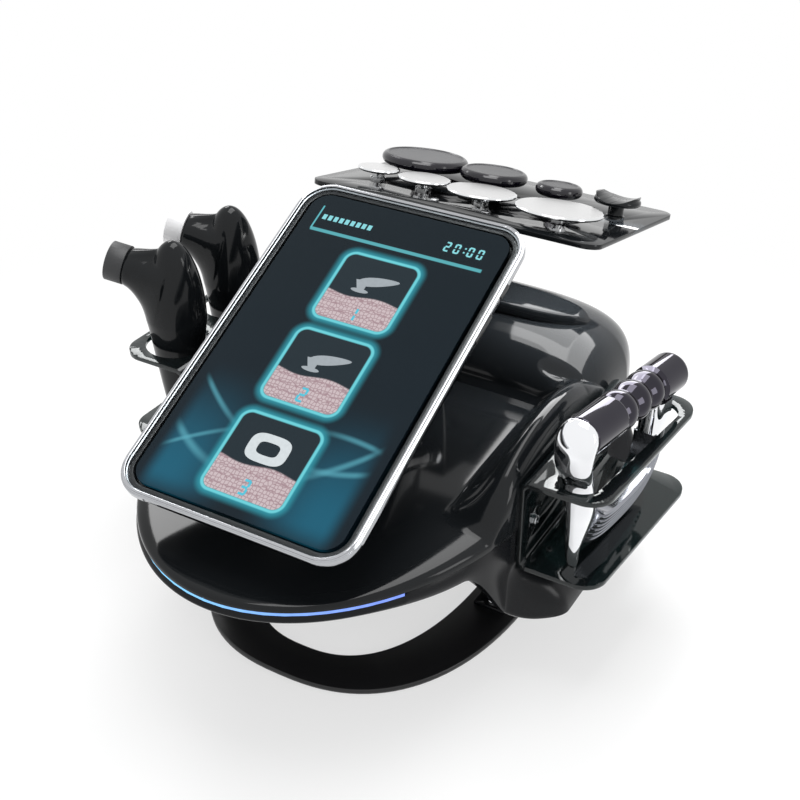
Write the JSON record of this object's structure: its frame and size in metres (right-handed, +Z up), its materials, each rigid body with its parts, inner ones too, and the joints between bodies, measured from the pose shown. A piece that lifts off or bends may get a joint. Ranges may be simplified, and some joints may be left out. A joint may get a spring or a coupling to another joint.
{
  "type": "radio frequency therapy machine",
  "caption": "Desktop radio frequency therapy machine: tilting tablet on a sculpted black body, handpieces and a loop massager in side holders, electrodes on a rear tray.",
  "frame": {"origin": "on the floor under the middle of the whole machine", "axes": "+Z up, +Y towards the rear panel away from the user, +X to the user's right"},
  "size_m": [0.4715, 0.5292, 0.3197],
  "materials": {
    "casing": "polished",
    "lip": "satin",
    "foot_plate": "satin",
    "rubber": "matt",
    "screw": "bright",
    "dark_screw": "black oxide",
    "light": "frosted, lit from behind",
    "board": "solder mask",
    "led_board": "white",
    "acrylic": "polished smoked sheet",
    "black_metal": "powder coat",
    "pin": "ground",
    "black_plastic": "fine texture",
    "copper": "enamelled wire",
    "sheet_metal": "folded sheet",
    "heatsink": "extruded",
    "tablet_back": "satin",
    "tablet_frame": "polished",
    "screen_glass": "polished",
    "display": "lit panel",
    "hand_shell": "polished",
    "near_collar": "matt",
    "far_collar": "satin white",
    "dark_chrome": "dark polished",
    "chrome": "polished",
    "blade": "polished, ribbed",
    "disc_steel": "satin face, bright rim",
    "disc_coated": "insulated rim"
  },
  "bodies": {
    "base": {"foot_loop": "foot_plate", "foot_pads": "rubber", "support_legs": "casing", "leg_screws": "screw", "lower_casing": "lip", "upper_casing": "casing", "light_strip": "light", "led_board": "led_board", "carry_handle": "casing", "handle_screws": "dark_screw", "left_holder": "acrylic", "right_holder": "acrylic", "holder_screws": "screw", "tray_bracket": "black_metal", "tray_plate": "acrylic", "tray_screws": "screw", "hinge_foot": "black_metal", "support_arms": "black_metal", "hinge_pin": "pin", "rear_panel": "black_plastic", "panel_screws": "screw", "power_inlet": "black_plastic", "switch_frame": "black_plastic", "output_socket_1": "black_plastic", "output_socket_2": "black_plastic", "output_socket_3": "black_plastic", "power_supply": "sheet_metal", "rf_board": "board", "rf_coils": "copper", "heatsink": "heatsink", "cooling_fan": "black_plastic"},
    "tablet": {"tablet_back": "tablet_back", "tablet_frame": "tablet_frame", "tablet_glass": "screen_glass", "tablet_display": "display", "tablet_board": "board", "tablet_bracket": "black_metal"},
    "power_key": {"power_key": "black_plastic"},
    "volume_key": {"volume_key": "black_plastic"},
    "power_rocker": {"power_rocker": "black_plastic"},
    "fan_rotor": {"fan_rotor": "black_plastic"},
    "near_handpiece": {"near_handpiece_shell": "hand_shell", "near_handpiece_collar": "near_collar", "near_handpiece_socket": "black_plastic"},
    "far_handpiece": {"far_handpiece_shell": "hand_shell", "far_handpiece_collar": "far_collar", "far_handpiece_socket": "black_plastic"},
    "massager": {"massager_grip": "dark_chrome", "massager_frame": "chrome", "massager_blade": "blade", "massager_screws": "dark_screw"},
    "bare_disc_1": {"bare_disc_1": "disc_steel"},
    "bare_disc_2": {"bare_disc_2": "disc_steel"},
    "bare_disc_3": {"bare_disc_3": "disc_steel"},
    "bare_disc_4": {"bare_disc_4": "disc_steel"},
    "coated_disc_1": {"coated_disc_1": "disc_coated"},
    "coated_disc_2": {"coated_disc_2": "disc_coated"},
    "coated_disc_3": {"coated_disc_3": "disc_coated"},
    "coated_saddle": {"coated_saddle": "disc_coated"}
  },
  "joints": [
    {"name": "tablet_tilt", "type": "hinge", "parent": "base", "child": "tablet", "pos_m": [0.00576, -0.01613, 0.202], "axis": [1, 0, 0], "range_deg": [-10, 6]},
    {"name": "power_key_press", "type": "slide", "parent": "tablet", "child": "power_key", "axis": [-1, 0, 0], "range_m": [0, 0.0006], "stiffness_N_per_m": 2500},
    {"name": "volume_key_press", "type": "slide", "parent": "tablet", "child": "volume_key", "axis": [-1, 0, 0], "range_m": [0, 0.0006], "stiffness_N_per_m": 2500},
    {"name": "power_rocker_turn", "type": "hinge", "parent": "base", "child": "power_rocker", "pos_m": [-0.01624, 0.17938, 0.165], "axis": [1, 0, 0], "range_deg": [-8, 8]},
    {"name": "fan_spin", "type": "hinge", "parent": "base", "child": "fan_rotor", "pos_m": [0.05376, 0.09988, 0.12105], "axis": [0, 1, 0], "range_deg": [-180, 180]},
    {"name": "near_handpiece_lift", "type": "slide", "parent": "base", "child": "near_handpiece", "axis": [0, 0, 1], "range_m": [0, 0.2]},
    {"name": "far_handpiece_lift", "type": "slide", "parent": "base", "child": "far_handpiece", "axis": [0, 0, 1], "range_m": [0, 0.2]},
    {"name": "massager_lift", "type": "slide", "parent": "base", "child": "massager", "axis": [0, 0, 1], "range_m": [0, 0.2]},
    {"name": "bare_disc_1_lift", "type": "slide", "parent": "base", "child": "bare_disc_1", "axis": [0, 0.2334, 0.9724], "range_m": [0, 0.06]},
    {"name": "bare_disc_2_lift", "type": "slide", "parent": "base", "child": "bare_disc_2", "axis": [0, 0.2334, 0.9724], "range_m": [0, 0.06]},
    {"name": "bare_disc_3_lift", "type": "slide", "parent": "base", "child": "bare_disc_3", "axis": [0, 0.2334, 0.9724], "range_m": [0, 0.06]},
    {"name": "bare_disc_4_lift", "type": "slide", "parent": "base", "child": "bare_disc_4", "axis": [0, 0.2334, 0.9724], "range_m": [0, 0.06]},
    {"name": "coated_disc_1_lift", "type": "slide", "parent": "base", "child": "coated_disc_1", "axis": [0, 0.2334, 0.9724], "range_m": [0, 0.06]},
    {"name": "coated_disc_2_lift", "type": "slide", "parent": "base", "child": "coated_disc_2", "axis": [0, 0.2334, 0.9724], "range_m": [0, 0.06]},
    {"name": "coated_disc_3_lift", "type": "slide", "parent": "base", "child": "coated_disc_3", "axis": [0, 0.2334, 0.9724], "range_m": [0, 0.06]},
    {"name": "coated_saddle_lift", "type": "slide", "parent": "base", "child": "coated_saddle", "axis": [0, 0.2334, 0.9724], "range_m": [0, 0.06]}
  ]
}
